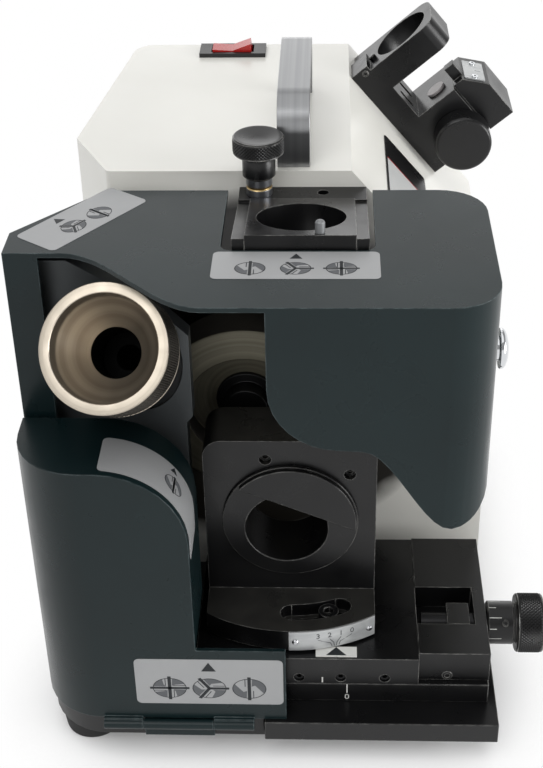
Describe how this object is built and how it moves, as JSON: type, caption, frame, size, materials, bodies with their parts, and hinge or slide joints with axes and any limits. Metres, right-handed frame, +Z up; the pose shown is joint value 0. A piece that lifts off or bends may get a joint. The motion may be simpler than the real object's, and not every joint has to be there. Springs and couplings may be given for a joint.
{
  "type": "tool and cutter grinder",
  "caption": "Compact bench grinder that re-sharpens end mills: motor housing with handle, guarded cup wheel, angled chuck ports, feed table with swivel holder and setting gauge.",
  "frame": {"origin": "centre of the bounding box in plan, at the floor under the feet", "axes": "+X to the operator's right, +Y away from the operator, +Z up"},
  "size_m": [0.2112, 0.2492, 0.252],
  "materials": {
    "base_black": "satin",
    "rubber": "matt",
    "cream_paint": "semi-gloss",
    "teal_paint": "satin",
    "black_oxide": "satin",
    "bright_steel": "turned",
    "dark_steel": "blackened",
    "knob_silver": "turned",
    "grey_plate": "matt",
    "lamination": "plain",
    "copper": "enamelled wire",
    "bell_alloy": "cast",
    "strap_alloy": "brushed",
    "brass": "turned",
    "chrome": "polished",
    "wheel_metal": "turned with an abrasive rim",
    "plate_silver": "satin",
    "plate_white": "matt",
    "black_plastic": "moulded",
    "red_plastic": "translucent gloss",
    "fan_plastic": "moulded",
    "capacitor_white": "moulded"
  },
  "bodies": {
    "machine": {"base_plate": "base_black", "slide_base": "base_black", "slide_rail": "base_black", "gauge_frame": "base_black", "top_port_frame": "base_black", "top_port_block": "base_black", "rubber_feet": "rubber", "foot_screws": "bright_steel", "rear_cover_screws": "bright_steel", "spindle_bearings": "bright_steel", "hinge_pin": "bright_steel", "handle_screws": "bright_steel", "gauge_anvil": "bright_steel", "body_shell": "cream_paint", "rear_cover": "cream_paint", "upper_guard": "teal_paint", "guard_post": "teal_paint", "hinge_leaf": "teal_paint", "feed_nut": "dark_steel", "left_port_sleeve": "dark_steel", "door_catch": "dark_steel", "top_index_pin": "dark_steel", "left_port_bracket": "grey_plate", "stator_pack": "lamination", "stator_windings": "copper", "motor_end_bells": "bell_alloy", "handle": "strap_alloy", "plunger_collar": "brass", "guard_screw": "chrome", "switch_bezel": "black_plastic", "power_inlet": "black_plastic", "run_capacitor": "capacitor_white"},
    "rotor": {"spindle": "bright_steel", "rotor_core": "lamination", "cooling_fan": "fan_plastic", "wheel_hub": "dark_steel", "grinding_wheel": "wheel_metal", "wheel_nut": "dark_steel"},
    "door": {"hinged_door": "teal_paint"},
    "plunger": {"plunger_knob": "dark_steel"},
    "chuck": {"chuck_body": "dark_steel", "collet": "bright_steel"},
    "chuck_knob": {"chuck_knob": "knob_silver"},
    "carriage": {"table_slide": "base_black", "screw_bracket": "base_black", "gib_screws": "dark_steel", "pointer_plate": "plate_white", "swivel_lock_screw": "dark_steel", "swivel_pivot_pin": "bright_steel"},
    "feed": {"feed_screw": "bright_steel", "feed_knob": "dark_steel"},
    "swivel": {"swivel_bracket": "base_black", "scale_plate": "plate_silver", "scale_rivets": "bright_steel"},
    "sleeve": {"eccentric_sleeve": "base_black", "half_moon_plate": "base_black"},
    "gauge_slider": {"gauge_block": "base_black"},
    "gauge_knob": {"gauge_knob": "dark_steel"},
    "rocker": {"switch_rocker": "red_plastic"}
  },
  "joints": [
    {"name": "spindle_spin", "type": "hinge", "parent": "machine", "child": "rotor", "pos_m": [-0.0206, -0.0209, 0.126], "axis": [0, 1, 0], "continuous": true},
    {"name": "door_swing", "type": "hinge", "parent": "machine", "child": "door", "pos_m": [-0.0456, -0.1224, 0.0195], "axis": [1, 0, 0], "range_deg": [0, 95]},
    {"name": "plunger_pull", "type": "slide", "parent": "machine", "child": "plunger", "axis": [0, 0, 1], "range_m": [0, 0.005], "stiffness_N_per_m": 600, "springref_m": -0.003},
    {"name": "chuck_withdraw", "type": "slide", "parent": "machine", "child": "chuck", "axis": [-0.1148, -0.7871, 0.606], "range_m": [0, 0.075]},
    {"name": "chuck_knob_turn", "type": "hinge", "parent": "chuck", "child": "chuck_knob", "pos_m": [-0.06645, -0.09503, 0.18634], "axis": [0.1148, 0.7871, -0.606], "range_deg": [-180, 180]},
    {"name": "table_feed", "type": "slide", "parent": "machine", "child": "carriage", "axis": [1, 0, 0], "range_m": [0, 0.01]},
    {"name": "feed_turn", "type": "hinge", "parent": "carriage", "child": "feed", "pos_m": [0.0844, -0.0809, 0.04], "axis": [1, 0, 0], "range_deg": [-5, 1805]},
    {"name": "swivel_turn", "type": "hinge", "parent": "carriage", "child": "swivel", "pos_m": [-0.0015, -0.0429, 0.05], "axis": [0, 0, 1], "range_deg": [-4, 15]},
    {"name": "sleeve_turn", "type": "hinge", "parent": "swivel", "child": "sleeve", "pos_m": [-0.0015, -0.0759, 0.0944], "axis": [0, 1, 0], "range_deg": [-23.5, 23.5]},
    {"name": "gauge_feed", "type": "slide", "parent": "machine", "child": "gauge_slider", "axis": [0, 1, 0], "range_m": [-0.004, 0.004]},
    {"name": "gauge_knob_turn", "type": "hinge", "parent": "machine", "child": "gauge_knob", "pos_m": [0.07519, 0.0741, 0.19496], "axis": [0, 1, 0], "range_deg": [-1445, 1445]},
    {"name": "rocker_tip", "type": "hinge", "parent": "machine", "child": "rocker", "pos_m": [-0.0316, 0.1096, 0.2245], "axis": [0, 1, 0], "range_deg": [0, 16]}
  ],
  "couplings": [
    {"joint": "feed_turn", "follows": "table_feed", "rad_per_m": 3141.6},
    {"joint": "gauge_knob_turn", "follows": "gauge_feed", "rad_per_m": 6283.2}
  ]
}
